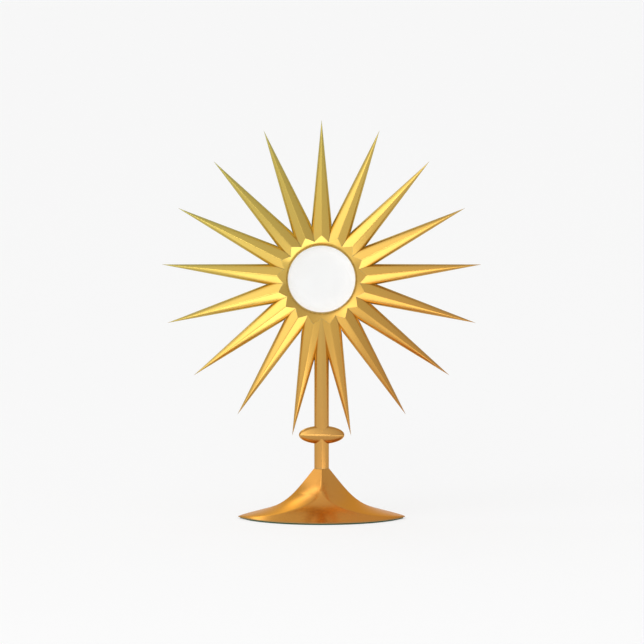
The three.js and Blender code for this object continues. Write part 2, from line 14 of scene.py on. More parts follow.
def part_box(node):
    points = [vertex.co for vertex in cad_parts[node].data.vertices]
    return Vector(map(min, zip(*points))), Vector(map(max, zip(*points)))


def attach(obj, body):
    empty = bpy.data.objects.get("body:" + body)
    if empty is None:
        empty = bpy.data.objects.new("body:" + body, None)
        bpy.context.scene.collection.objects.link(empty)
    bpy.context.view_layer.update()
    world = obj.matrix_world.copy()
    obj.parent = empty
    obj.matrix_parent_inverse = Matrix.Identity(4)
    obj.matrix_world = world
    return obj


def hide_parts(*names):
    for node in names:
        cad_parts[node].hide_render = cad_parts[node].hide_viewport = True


MM = 0.001
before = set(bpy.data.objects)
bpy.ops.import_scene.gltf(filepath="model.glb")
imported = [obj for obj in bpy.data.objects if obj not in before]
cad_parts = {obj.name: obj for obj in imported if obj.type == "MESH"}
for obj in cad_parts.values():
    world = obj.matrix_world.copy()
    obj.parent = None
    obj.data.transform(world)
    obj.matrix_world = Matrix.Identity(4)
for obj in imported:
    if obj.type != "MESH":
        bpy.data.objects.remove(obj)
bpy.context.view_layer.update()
NODES = sorted(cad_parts)


def node_box(node):
    low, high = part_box(node)
    return np.array(low), np.array(high)


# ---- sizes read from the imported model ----
host_low, host_high = node_box("host")
SUN_X = (host_low[0] + host_high[0]) / 2
SUN_Z = (host_low[2] + host_high[2]) / 2
HOST_R = (host_high[2] - host_low[2]) / 2
RAYS = [n for n in NODES if n.startswith("ray_") and not n.startswith("ray_screw")]
RAY_COUNT = len(RAYS)
PITCH = 2 * math.pi / RAY_COUNT
TIP_R = node_box("ray_01")[1][2] - SUN_Z
CASE_BACK_Y = node_box("glory_ring")[1][1]
FLANGE_R = node_box("glory_ring")[1][0]
STEM_HALF = node_box("lower_stem")[1][0]
knop_low, knop_high = node_box("knop")
KNOP_Z = (knop_low[2] + knop_high[2]) / 2
FOOT_HALF_WIDE, FOOT_HALF_DEEP, FOOT_TOP_Z = node_box("foot_shell")[1]

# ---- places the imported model's boxes don't give, as in the CAD ----
EDGE_SLOPE = 0.0966  # a ray's half width per length from its tip
EDGE_ANGLE = math.atan(EDGE_SLOPE)
RIM = 0.8 * MM  # half the thickness of a ray's edge
OPENING_R = 33.65 * MM
REBATE_R = 37.1 * MM  # the glass's seat in the bezel
CASE_R = 44.3 * MM
BACK_BY_CASE_Y = 2.5 * MM  # backs of the rays and the stem inside CASE_R
SEAT_Y = 3.0 * MM  # back of the stem on the case's tongue
FLANGE_BACK_Y = 5.85 * MM
TONGUE_END = 76 * MM  # below the sun's centre
PIN_R = 1.0 * MM
KNUCKLE_R = 2.3 * MM
FOOT_FORK_Z = 30 * MM  # below this height the front ridge forks round the front facet
FOOT_RIM_Z = 2.2 * MM
FOOT_BOTTOM_Z = 1.5 * MM

# ---- worked relief, finer than the CAD's ----
RELIEF_SLOPE = 0.50
RELIEF_RISE = 2.2 * MM
RELIEF_REACH = 1.3 * MM
# painted shade: the band along each edge where the gilding is painted darker
SHADED_BAND = 0.9 * MM
RIDGE_SOFT = 0.4 * MM
MITRE_GAP = 0.12 * MM
ROOT_GAP = 0.10 * MM
RAY_BACK_SLOPE = 0.21
RAY_BACK_DEEPEST = 2.2 * MM
STEM_PROUD = 0.2 * MM
STEM_IN_KNOP = 1 * MM
STEM_TOP_BELOW_SUN = 40 * MM
# painted shade over the whole stem, as a share of the edges' painted shade
STEM_SHADE = 0.25
KNOP_GROWN = (0.35 * MM, 0.4 * MM)  # past the CAD's facets, along X and Z
KNOP_SLOPE = 0.40
KNOP_RIM_HIGH = 3.4 * MM
KNOP_RIM_ROUND = 1.1 * MM
KNOP_SOFT = 0.3 * MM
# painted shade over the whole knop, as a share of the rim's painted shade
KNOP_SHADE = 0.35
FLANK_SWELL = 0.09  # of a flank's length in plan
FLANK_TURN = 3.4
FOOT_RIDGE_ROUND = 1.4 * MM
FOOT_RIDGE_PULL = 0.22
# painted shade near the foot's rim falls off this much faster with height
FOOT_SHADE_SHARPER = 2.5


def bevel_height(distance):
    """Height of the worked relief at a distance in from its edge: steep at the edge, flatter inside."""
    inward = np.maximum(distance, 0)
    return RELIEF_SLOPE * inward + RELIEF_RISE * (1 - np.exp(-inward / RELIEF_REACH))


def painted_edge_shade(distance):
    """How much painted shade the gilding takes at each distance in from an edge: 1 at the edge, 0 well
    inside.
    """
    return np.exp(-np.maximum(distance, 0) / SHADED_BAND).ravel()


def zigzag_radius(off_ridge):
    """Radius at which the bezel's cone and a ray's flank stand equally high."""
    return (TIP_R * math.sin(EDGE_ANGLE) + OPENING_R) / (1 + np.sin(EDGE_ANGLE + np.abs(off_ridge)))


# ---- mesh building ----
def make_piece(name, node, shell, slot, body, sharp_deg, bevel=0, shade_share=None):
    """Mesh that stands in for one CAD node, with edges sharper than SHARP_DEG left sharp."""
    data = bpy.data.meshes.new(name)
    data.from_pydata([tuple(map(float, v)) for v in shell.vertices], [], shell.faces)
    data.validate()
    # painted shade along the edges, carried as a vertex attribute for the material
    if shade_share is not None:
        data.attributes.new("painted_edge_shade", "FLOAT", "POINT").data.foreach_set("value", shade_share)
    piece = bpy.data.objects.new(name, data)
    bpy.context.scene.collection.objects.link(piece)
    data.materials.append(MATERIALS[slot])
    merge_close(piece)
    if bevel:
        rounded = piece.modifiers.new("edges", "BEVEL")
        rounded.width = bevel
        rounded.segments = 2
        rounded.limit_method = "ANGLE"
        rounded.angle_limit = math.radians(sharp_deg)
        rounded.use_clamp_overlap = True
    data.polygons.foreach_set("use_smooth", [True] * len(data.polygons))
    data.set_sharp_from_angle(angle=math.radians(sharp_deg))
    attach(piece, body)
    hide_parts(node)


def merge_close(piece):
    work = bmesh.new()
    work.from_mesh(piece.data)
    bmesh.ops.remove_doubles(work, verts=work.verts, dist=1e-6)
    bmesh.ops.dissolve_degenerate(work, edges=work.edges, dist=1e-7)
    bmesh.ops.recalc_face_normals(work, faces=work.faces)
    work.to_mesh(piece.data)
    work.free()


ROD_SEGMENTS = 32
TURNED_SEGMENTS = 128
# where a grid's sides and ends are in its array
SIDE_EDGES = ((slice(None), 0), (slice(None), -1))
END_EDGES = ((0, slice(None)), (-1, slice(None)))


class Shell:
    """Vertices and faces gathered from grids of points."""

    def __init__(self):
        self.vertices, self.faces = [], []

    def grid(self, points, close=False):
        rows, columns = points.shape[:2]
        start = len(self.vertices)
        self.vertices.extend(points.reshape(-1, 3))
        for i in range(rows - 1):
            for j in range(columns if close else columns - 1):
                k = (j + 1) % columns
                a, b = start + i * columns + j, start + i * columns + k
                self.faces.append((a, b, b + columns, a + columns))

    def wall(self, upper, lower):
        self.grid(np.stack([upper, lower]))

    def box(self, low, high):
        start = len(self.vertices)
        for x in (low[0], high[0]):
            for y in (low[1], high[1]):
                for z in (low[2], high[2]):
                    self.vertices.append(np.array([x, y, z]))
        for face in ((0, 1, 3, 2), (4, 6, 7, 5), (0, 4, 5, 1), (2, 3, 7, 6), (0, 2, 6, 4), (1, 5, 7, 3)):
            self.faces.append(tuple(start + i for i in face))

    def upright_rod(self, x, y, z0, z1, radius):
        angles = np.linspace(0, 2 * math.pi, ROD_SEGMENTS, endpoint=False)
        rows = [(0, z0), (radius, z0), (radius, z1), (0, z1)]
        rings = [[(x + r * math.cos(a), y + r * math.sin(a), z) for a in angles] for r, z in rows]
        self.grid(np.array(rings), close=True)


def slab(front, rear, edges=SIDE_EDGES + END_EDGES):
    """Shell between two grids of the same size, walled along the given edges of the grids."""
    shell = Shell()
    shell.grid(front)
    shell.grid(rear)
    for edge in edges:
        shell.wall(front[edge], rear[edge])
    return shell


def slab_shade(shell, face_shade):
    """The same painted edge shade on a slab's front and rear, and the full painted shade on its walls."""
    shade_share = np.ones(len(shell.vertices))
    shade_share[: 2 * len(face_shade)] = np.tile(face_shade, 2)
    return shade_share


def mirrored(side):
    """Shares from -1 to 1 out of those on one side of the middle."""
    return np.array([-a for a in reversed(side)] + [0.0] + side)


def turned_about_y(profile):
    """Closed ring or disc from (radius, y) points, turned about the line through the Host's centre."""
    shell = Shell()
    loop = np.array([*profile, profile[0]], float)
    angles = np.linspace(0, 2 * math.pi, TURNED_SEGMENTS, endpoint=False)
    points = np.zeros((len(loop), TURNED_SEGMENTS, 3))
    points[..., 0] = SUN_X + loop[:, None, 0] * np.sin(angles)
    points[..., 1] = loop[:, None, 1]
    points[..., 2] = SUN_Z + loop[:, None, 0] * np.cos(angles)
    shell.grid(points, close=True)
    return shell


# ---- materials ----
def new_material(name):
    made = bpy.data.materials.new(name)
    made.use_nodes = True
    nodes = made.node_tree.nodes
    return made, nodes, made.node_tree.links, nodes["Principled BSDF"]


def noise(nodes, links, coords, scale, detail):
    texture = nodes.new("ShaderNodeTexNoise")
    texture.inputs["Scale"].default_value = scale
    texture.inputs["Detail"].default_value = detail
    links.new(coords, texture.inputs["Vector"])
    return texture.outputs["Fac"]


def in_range(nodes, links, value, low, high):
    mapped = nodes.new("ShaderNodeMapRange")
    mapped.inputs["To Min"].default_value = low
    mapped.inputs["To Max"].default_value = high
    links.new(value, mapped.inputs["Value"])
    return mapped.outputs["Result"]


def colour_ramp(nodes, links, value, stops):
    ramp = nodes.new("ShaderNodeValToRGB")
    while len(ramp.color_ramp.elements) < len(stops):
        ramp.color_ramp.elements.new(0.5)
    for element, (place, colour) in zip(ramp.color_ramp.elements, stops):
        element.position = place
        element.color = (*colour, 1)
    links.new(value, ramp.inputs["Fac"])
    return ramp.outputs["Color"]


def mixed(nodes, links, factor, a, b, mode="MIX"):
    mix = nodes.new("ShaderNodeMix")
    mix.data_type = "RGBA"
    mix.blend_type = mode
    for socket, value in (("Factor", factor), ("A", a), ("B", b)):
        target = [s for s in mix.inputs if s.name == socket and s.enabled][0]
        if isinstance(value, tuple):
            target.default_value = (*value, 1)
        elif isinstance(value, float):
            target.default_value = value
        else:
            links.new(value, target)
    return [s for s in mix.outputs if s.enabled][0]


def maths(nodes, links, operation, *values):
    node = nodes.new("ShaderNodeMath")
    node.operation = operation
    for socket, value in zip(node.inputs, values):
        if isinstance(value, (int, float)):
            socket.default_value = value
        else:
            links.new(value, socket)
    return node.outputs[0]


def object_coords(nodes):
    return nodes.new("ShaderNodeTexCoord").outputs["Object"]


def bump(nodes, links, height, strength, distance):
    made = nodes.new("ShaderNodeBump")
    made.inputs["Strength"].default_value = strength
    made.inputs["Distance"].default_value = distance
    links.new(height, made.inputs["Height"])
    return made.outputs["Normal"]


# painted light and shade: the gilding goes from light lemon gold at the upper left to darker red gold at
# the lower right, as the light falls across the object
LEMON_GOLD = (0.62, 0.51, 0.118)
RED_GOLD = (0.62, 0.258, 0.056)
REDDER_TOWARDS = (0.9, 0.0, -1.0)
LEMON_UP_TO, RED_FROM = -0.46, 0.02
TARNISH = (0.80, 0.70, 0.62)
# painted shade along edges: darker, and bluer to take out the orange that light bounced between the gold
# faces gives there
EDGE_SHADE_TINT = (0.72, 0.90, 1.50)
GRAZING_TINT = (1.0, 0.72, 0.42, 1.0)
# painted light on the Host: an emission that grows towards its rim against the recess's shade
HOST_PAINTED_LIGHT = 0.056
HOST_RIM_PAINTED_LIGHT = 0.478
HOST_PAINTED_LIGHT_POWER = 3.6


def gilt_material(name, roughness, tarnish):
    """Gold over brass with painted shade along its edges, and painted light and shade across it: lemon at
    the upper left, darker and redder towards the lower right.
    """
    made, nodes, links, shader = new_material(name)
    coords = object_coords(nodes)
    # painted light and shade: lemon towards the upper left, darker red towards the lower right
    slope = nodes.new("ShaderNodeVectorMath")
    slope.operation = "DOT_PRODUCT"
    slope.inputs[1].default_value = REDDER_TOWARDS
    links.new(coords, slope.inputs[0])
    along = nodes.new("ShaderNodeMapRange")
    along.inputs["From Min"].default_value = LEMON_UP_TO
    along.inputs["From Max"].default_value = RED_FROM
    links.new(slope.outputs["Value"], along.inputs["Value"])
    base = colour_ramp(nodes, links, along.outputs["Result"], [(0.0, LEMON_GOLD), (1.0, RED_GOLD)])
    clouds = noise(nodes, links, coords, 38.0, 4.0)
    deeper = mixed(nodes, links, 1.0, base, TARNISH, "MULTIPLY")
    shade = in_range(nodes, links, clouds, 0.0, tarnish * 2)
    clouded = mixed(nodes, links, shade, base, deeper)
    # painted shade: the edges' darker, bluer tint, mixed in by the edge attribute
    edge_shaded = mixed(nodes, links, 1.0, clouded, EDGE_SHADE_TINT, "MULTIPLY")
    edge = nodes.new("ShaderNodeAttribute")
    edge.attribute_name = "painted_edge_shade"
    links.new(mixed(nodes, links, edge.outputs["Fac"], clouded, edge_shaded), shader.inputs["Base Color"])
    shader.inputs["Metallic"].default_value = 1.0
    shader.inputs["Specular Tint"].default_value = GRAZING_TINT
    streaks = noise(nodes, links, coords, 260.0, 2.0)
    links.new(in_range(nodes, links, streaks, *roughness), shader.inputs["Roughness"])
    fine = noise(nodes, links, coords, 900.0, 3.0)
    links.new(bump(nodes, links, fine, 0.03, 0.0002), shader.inputs["Normal"])
    return made


def steel_material():
    made, nodes, links, shader = new_material("steel")
    coords = object_coords(nodes)
    clouds = noise(nodes, links, coords, 700.0, 3.0)
    colour = colour_ramp(nodes, links, clouds, [(0.3, (0.42, 0.42, 0.43)), (0.7, (0.60, 0.60, 0.61))])
    links.new(colour, shader.inputs["Base Color"])
    shader.inputs["Metallic"].default_value = 1.0
    links.new(in_range(nodes, links, clouds, 0.3, 0.5), shader.inputs["Roughness"])
    links.new(bump(nodes, links, clouds, 0.1, 0.0002), shader.inputs["Normal"])
    return made


def glass_material():
    made, _, _, shader = new_material("clear_glass")
    shader.inputs["Base Color"].default_value = (0.96, 0.98, 0.98, 1)
    shader.inputs["Roughness"].default_value = 0.03
    shader.inputs["Alpha"].default_value = 0.07
    return made


def host_material():
    """White wafer with painted light: a weak glow, stronger towards its rim, that lifts the shade of the
    bezel's recess so the wafer reads evenly white.
    """
    made, nodes, links, shader = new_material("host_wafer")
    coords = object_coords(nodes)
    grain = noise(nodes, links, coords, 420.0, 5.0)
    # painted against the light: the white is faintly bluer, to cancel the warm light the gold throws on it
    colour = colour_ramp(nodes, links, grain, [(0.3, (0.865, 0.869, 0.878)), (0.7, (0.885, 0.889, 0.895))])
    links.new(colour, shader.inputs["Base Color"])
    shader.inputs["Roughness"].default_value = 0.85
    shader.inputs["Specular IOR Level"].default_value = 0.2
    links.new(bump(nodes, links, grain, 0.05, 0.0002), shader.inputs["Normal"])
    # painted light: emission rising towards the rim, where the bezel's recess shades the wafer
    outward = nodes.new("ShaderNodeVectorMath")
    outward.operation = "DISTANCE"
    outward.inputs[1].default_value = (SUN_X, host_low[1], SUN_Z)
    links.new(coords, outward.inputs[0])
    share = maths(nodes, links, "DIVIDE", outward.outputs["Value"], float(HOST_R))
    rim = maths(nodes, links, "POWER", share, HOST_PAINTED_LIGHT_POWER)
    painted_light = maths(nodes, links, "MULTIPLY_ADD", rim, HOST_RIM_PAINTED_LIGHT, HOST_PAINTED_LIGHT)
    shader.inputs["Emission Color"].default_value = (1, 1, 1, 1)
    links.new(painted_light, shader.inputs["Emission Strength"])
    return made


def felt_material():
    made, nodes, links, shader = new_material("felt")
    coords = object_coords(nodes)
    fibres = noise(nodes, links, coords, 1400.0, 6.0)
    colour = colour_ramp(nodes, links, fibres, [(0.3, (0.012, 0.05, 0.025)), (0.7, (0.03, 0.11, 0.055))])
    links.new(colour, shader.inputs["Base Color"])
    shader.inputs["Roughness"].default_value = 1.0
    shader.inputs["Sheen Weight"].default_value = 0.4
    links.new(bump(nodes, links, fibres, 0.6, 0.0006), shader.inputs["Normal"])
    return made


def plain_material(name, dark, light, scale, roughness, metallic=0.0):
    made, nodes, links, shader = new_material(name)
    coords = object_coords(nodes)
    grain = noise(nodes, links, coords, scale, 5.0)
    links.new(colour_ramp(nodes, links, grain, [(0.3, dark), (0.7, light)]), shader.inputs["Base Color"])
    shader.inputs["Roughness"].default_value = roughness
    shader.inputs["Metallic"].default_value = metallic
    links.new(bump(nodes, links, grain, 0.3, 0.0005), shader.inputs["Normal"])
    return made


MATERIALS = {
    "gilt_brass": gilt_material("gilt_brass", roughness=(0.17, 0.25), tarnish=0.07),
    "gilt_brass_rear": gilt_material("gilt_brass_rear", roughness=(0.30, 0.42), tarnish=0.2),
    "steel": steel_material(),
    "clear_glass": glass_material(),
    "host_wafer": host_material(),
    "felt": felt_material(),
    "gasket": plain_material("gasket", (0.010, 0.009, 0.009), (0.03, 0.028, 0.027), 900.0, 0.8),
    "ballast": plain_material("ballast", (0.06, 0.06, 0.062), (0.14, 0.14, 0.145), 300.0, 0.6, 0.8),
}


# ---- rays ----
def ray_piece(index, name):
    """One ray: pillowed flanks meeting on a soft ridge, shallow flanks behind, mitred root."""
    angle = index * PITCH
    lateral = mirrored([0.03, 0.07, 0.14, 0.24, 0.36, 0.48, 0.6, 0.7, 0.79, 0.86, 0.92, 0.965, 1.0])
    half_pitch = math.tan(PITCH / 2)
    valley_v = (TIP_R * EDGE_SLOPE) / (EDGE_SLOPE + half_pitch)
    off_ridge = np.arctan(lateral * half_pitch)
    start_v = (zigzag_radius(off_ridge) + ROOT_GAP) * np.cos(off_ridge)
    root = start_v + (valley_v - start_v) * np.linspace(0, 1, 14)[:, None]
    blade = valley_v + (TIP_R - valley_v) * np.linspace(0, 1, 34)[1:, None]
    v = np.vstack([root, np.repeat(blade, len(lateral), axis=1)])
    half_width = np.minimum((TIP_R - v) * EDGE_SLOPE, v * half_pitch - MITRE_GAP)
    u = lateral * np.maximum(half_width, 0)
    reach = (TIP_R - v) * math.sin(EDGE_ANGLE)
    from_edge = reach - np.abs(u) * math.cos(EDGE_ANGLE)
    softened = reach - np.sqrt(u * u + RIDGE_SOFT**2) * math.cos(EDGE_ANGLE)
    front = -RIM - bevel_height(softened)
    rear = RIM + np.minimum(RAY_BACK_SLOPE * np.maximum(from_edge, 0), RAY_BACK_DEEPEST)
    rear = np.where(np.hypot(u, v) < CASE_R, np.minimum(rear, BACK_BY_CASE_Y), rear)

    def placed(depth):
        x = SUN_X + u * math.cos(angle) + v * math.sin(angle)
        z = SUN_Z - u * math.sin(angle) + v * math.cos(angle)
        return np.stack([x, depth, z], axis=-1)

    shell = slab(placed(front), placed(rear))
    # painted shade along the ray's edges, full on its walls
    shade_share = slab_shade(shell, painted_edge_shade(from_edge))
    make_piece(name + "_worked", name, shell, "gilt_brass", "stand", 28, shade_share=shade_share)


# ---- stem ----
def stem_piece(node):
    """Square bar on its diagonal. The upper length is mitred between two rays and cut for the case."""
    x = STEM_HALF * mirrored([0.04, 0.1, 0.2, 0.35, 0.5, 0.65, 0.8, 0.9, 0.96, 1.0])
    upper = node == "upper_stem"
    if upper:
        theta = np.arctan2(np.abs(x), STEM_TOP_BELOW_SUN)
        top = SUN_Z - (zigzag_radius(PITCH / 2 - theta) + ROOT_GAP) * np.cos(theta)
        bottom = KNOP_Z + STEM_IN_KNOP
    else:
        top = np.full_like(x, KNOP_Z - STEM_IN_KNOP)
        bottom = node_box(node)[0][2]
    z = bottom + (top - bottom) * np.linspace(0, 1, 60 if upper else 16)[:, None]
    xs = np.broadcast_to(x, z.shape)
    front = STEM_PROUD + bevel_height(STEM_HALF - np.sqrt(xs * xs + RIDGE_SOFT**2))
    rear = front
    if upper:
        rear = np.where(z > SUN_Z - TONGUE_END - 0.4 * MM, np.minimum(rear, SEAT_Y), rear)
        rear = np.where(z > SUN_Z - CASE_R, np.minimum(rear, BACK_BY_CASE_Y), rear)
    shell = slab(np.stack([xs, -front, z], axis=-1), np.stack([xs, rear, z], axis=-1))
    # painted shade along the stem's edges, a quarter of it over the whole stem, and full on its walls
    shade_share = slab_shade(shell, np.maximum(painted_edge_shade(STEM_HALF - np.abs(xs)), STEM_SHADE))
    make_piece(node + "_worked", node, shell, "gilt_brass", "stand", 40, shade_share=shade_share)


# ---- knop ----
def knop_piece():
    """Pointed-oval sections along X: rounded steeply at the rim, then easing to a soft crest."""
    half_wide = knop_high[0] + KNOP_GROWN[0]
    half_high = (knop_high[2] - knop_low[2]) / 2 + KNOP_GROWN[1]
    along = -half_wide * np.cos(np.linspace(0, math.pi, 73))
    share = np.sqrt(np.maximum(1 - (along / half_wide) ** 2, 0))
    turn = np.linspace(-math.pi / 2, math.pi / 2, 41)
    high = half_high * share[:, None]
    rise = high * np.sin(turn)
    inward = np.maximum(high + KNOP_SOFT - np.sqrt(rise**2 + KNOP_SOFT**2), 0)
    inward = inward * np.minimum(1, np.cos(turn) * 6)
    depth = KNOP_SLOPE * inward + KNOP_RIM_HIGH * (1 - np.exp(-inward / KNOP_RIM_ROUND))
    front = np.stack([np.broadcast_to(along[:, None], rise.shape), -depth, KNOP_Z + rise], axis=-1)
    back = front[:, ::-1][:, 1:-1] * [1, -1, 1]
    shell = Shell()
    shell.grid(np.concatenate([front, back], axis=1), close=True)
    inward_all_round = np.concatenate([inward, inward[:, 1:-1]], axis=1)
    # painted shade along the knop's rim, and about a third of it over the whole knop
    shade_share = np.maximum(painted_edge_shade(inward_all_round), KNOP_SHADE)
    make_piece("knop_worked", "knop", shell, "gilt_brass", "stand", 60, shade_share=shade_share)


# ---- foot ----
def bezier(p0, p1, p2, p3, t):
    t = t[:, None]
    p0, p1, p2, p3 = map(np.array, (p0, p1, p2, p3))
    return (1 - t) ** 3 * p0 + 3 * (1 - t) ** 2 * t * p1 + 3 * (1 - t) * t * t * p2 + t**3 * p3


def curve_of_height(p0, p1, p2, p3):
    """Reach outwards as a function of height, along a curve that falls from p0 to p3."""
    points = bezier(p0, p1, p2, p3, np.linspace(0, 1, 800))
    return lambda z: float(np.interp(-z, -points[:, 1], points[:, 0]))


LENS_OFFSET = (FOOT_HALF_WIDE**2 - FOOT_HALF_DEEP**2) / (2 * FOOT_HALF_DEEP)
LENS_R = FOOT_HALF_DEEP + LENS_OFFSET


def lens_fall(x):
    """How far the pointed oval's arc has fallen back at X from the middle."""
    return LENS_R - np.sqrt(np.maximum(LENS_R**2 - x * x, 0))


def share_fallen(z):
    """0 at the foot's top, 1 at its rim."""
    return max((FOOT_TOP_Z - z) / (FOOT_TOP_Z - FOOT_RIM_Z), 0)


def flank_steepness(z):
    """Depth per width of a flank in plan: as the stem's faces at the top, facing more sideways below."""
    return 1 + FLANK_TURN * share_fallen(z) ** 5


foot_side = curve_of_height(
    (STEM_HALF + 0.4 * MM, FOOT_TOP_Z),
    (32 * MM, 19.8 * MM),
    (35.2 * MM, 11.7 * MM),
    (FOOT_HALF_WIDE, FOOT_RIM_Z),
)
foot_front = curve_of_height(
    (flank_steepness(FOOT_FORK_Z) * foot_side(FOOT_FORK_Z), FOOT_FORK_Z),
    (30 * MM, 21 * MM),
    (42 * MM, 11 * MM),
    (FOOT_HALF_DEEP, FOOT_RIM_Z),
)


def ridge_at(wide, deep, steep):
    """X at which a flank meets the front's arc."""
    low, high = 0.0, wide
    for _ in range(50):
        mid = (low + high) / 2
        if steep * (wide - mid) > deep - lens_fall(mid):
            low = mid
        else:
            high = mid
    return low


def foot_quarter(z):
    """Right front quarter of the foot's section, from the side tip along the flank and then the front."""
    wide, steep = foot_side(z), flank_steepness(z)
    forked = z < FOOT_FORK_Z
    deep = foot_front(z) if forked else steep * wide
    ridge_x = ridge_at(wide, deep, steep) if forked else 0.0
    ridge_y = deep - float(lens_fall(ridge_x))
    share = np.array(
        [0, 0.008, 0.02, 0.05, 0.1, 0.17, 0.25, 0.34, 0.43, 0.52, 0.61, 0.7, 0.78, 0.85, 0.91, 0.95, 0.98]
    )
    along = np.array([ridge_x - wide, -ridge_y])
    length = np.hypot(*along)
    outward = np.array([ridge_y, ridge_x - wide]) / max(length, 1e-9)
    swell = FLANK_SWELL * min(1, 2 * share_fallen(z)) ** 2 * length * 4 * share * (1 - share)
    flank = np.array([wide, 0]) + share[:, None] * along + swell[:, None] * outward
    front_x = ridge_x * (1 - np.linspace(0, 1, 19) ** 1.6)
    front = np.stack([front_x, -(deep - lens_fall(front_x))], axis=1)
    section = np.vstack([flank, front])
    ridge = section[len(flank)]
    reach = min(FOOT_RIDGE_ROUND, 0.3 * length)
    offset = np.linalg.norm(section - ridge, axis=1)
    pull = np.clip(1 - offset / max(reach, 1e-9), 0, 1) ** 2 * reach
    inward = -ridge / max(np.linalg.norm(ridge), 1e-9)
    return section + FOOT_RIDGE_PULL * pull[:, None] * inward


def foot_piece():
    above = np.linspace(FOOT_TOP_Z, FOOT_FORK_Z, 26)
    below = FOOT_RIM_Z + (FOOT_FORK_Z - FOOT_RIM_Z) * np.linspace(1, 0, 84)[1:] ** 1.5
    rings = []
    for z in [*above, *below]:
        quarter = foot_quarter(z)
        half = np.vstack([quarter, (quarter * [-1, 1])[::-1][1:]])
        whole = np.vstack([half, (half * [-1, -1])[1:-1]])
        rings.append(np.column_stack([whole, np.full(len(whole), z)]))
    rim = rings[-1].copy()
    rim[:, 2] = FOOT_BOTTOM_Z
    inside = rim * [0.93, 0.92, 1]
    ceiling = inside * [0.2, 0.2, 1] + [0, 0, 10 * MM]
    crown = rings[0] * [0.35, 0.35, 1]
    shell = Shell()
    shell.grid(np.array([crown, *rings, rim, inside, ceiling]), close=True)
    # painted shade along the foot's bottom rim, darkest at the rim itself
    above_rim = np.array(shell.vertices)[:, 2] - FOOT_RIM_Z
    shade_share = painted_edge_shade(FOOT_SHADE_SHARPER * above_rim)
    make_piece("foot_worked", "foot_shell", shell, "gilt_brass", "stand", 50, shade_share=shade_share)


# ---- bezel ----
def bezel_piece():
    """Cone rising from the opening to a zig-zag edge, where it meets the rays' flanks."""
    steps = RAY_COUNT * 24
    theta = np.arange(steps) / steps * 2 * math.pi
    end_r = zigzag_radius(theta - np.round(theta / PITCH) * PITCH)
    share = np.array([0, 0.04, 0.1, 0.2, 0.32, 0.45, 0.58, 0.7, 0.82, 0.92, 1.0])
    r = OPENING_R + (end_r[:, None] - OPENING_R) * share
    y = -RIM - bevel_height(r - OPENING_R)
    rebate_r, opening_r = np.full(steps, REBATE_R), np.full(steps, OPENING_R)
    tail_r = np.stack([end_r, rebate_r, rebate_r, opening_r], axis=1)
    tail_y = np.broadcast_to(np.array([2.6, 2.6, 0.6, 0.6]) * MM, tail_r.shape)
    r, y = np.hstack([r, tail_r]), np.hstack([y, tail_y])
    x = SUN_X + r * np.sin(theta)[:, None]
    z = SUN_Z + r * np.cos(theta)[:, None]
    points = np.stack([x, y, z], axis=-1)
    shell = Shell()
    shell.grid(np.vstack([points, points[:1]]), close=True)
    # painted shade along the edge of the opening
    shade_share = painted_edge_shade(np.vstack([r, r[:1]]) - OPENING_R)
    make_piece("bezel_worked", "front_bezel", shell, "gilt_brass", "stand", 40, shade_share=shade_share)


# ---- case, capsule and door, all turned about the Host's axis ----
def mm_profile(*points):
    return [(r * MM, y * MM) for r, y in points]


def case_piece():
    back, flange = CASE_BACK_Y / MM, FLANGE_R / MM
    shell = turned_about_y(mm_profile(
        (35.2, 2.8), (44, 2.8), (44, 3.3), (flange, 3.3), (flange, 5.8), (46.2, 5.8), (44.6, 6.4),
        (44, 7.8), (44, 14.6), (44.7, 15.1), (44.7, 16.2), (44, 16.7), (44, back),
        (40.8, back), (40.8, 4.8), (35.2, 4.8),
    ))
    tongue_half = 5.6 * MM
    shell.box((-tongue_half, 3.3 * MM, SUN_Z - TONGUE_END), (tongue_half, 5.8 * MM, SUN_Z - 52 * MM))
    make_piece("case_worked", "glory_ring", shell, "gilt_brass_rear", "stand", 30, bevel=0.35 * MM)


def hinge_line():
    """X and Y of the hinge pin's axis, and the heights of its ends."""
    low, high = node_box("hinge_pin")
    return (low[0] + high[0]) / 2, (low[1] + high[1]) / 2, low[2], high[2]


def luna_piece():
    x, y, _, _ = hinge_line()
    front = node_box("luna_body")[0][1] / MM
    flange_back = node_box("luna_door")[0][1] / MM - 0.3
    flange_front = flange_back - 2.0
    shell = turned_about_y(mm_profile(
        (34.4, front), (40.6, front), (40.6, flange_front), (44, flange_front), (44, flange_back),
        (36.6, flange_back), (36.6, front + 1), (34.4, front + 1),
    ))
    key_half = 2.2 * MM
    shell.box(
        (-key_half, (front + 0.6) * MM, SUN_Z - 42.2 * MM),
        (key_half, (flange_front + 0.5) * MM, SUN_Z - 39.5 * MM),
    )
    for low, high in ((-10, -5.3), (5.3, 10)):
        z0, z1 = SUN_Z + low * MM, SUN_Z + high * MM
        shell.box((42 * MM, flange_front * MM, z0), (x, flange_back * MM, z1))
        shell.upright_rod(x, y, z0, z1, KNUCKLE_R)
    make_piece("luna_worked", "luna_body", shell, "gilt_brass_rear", "luna", 30, bevel=0.3 * MM)


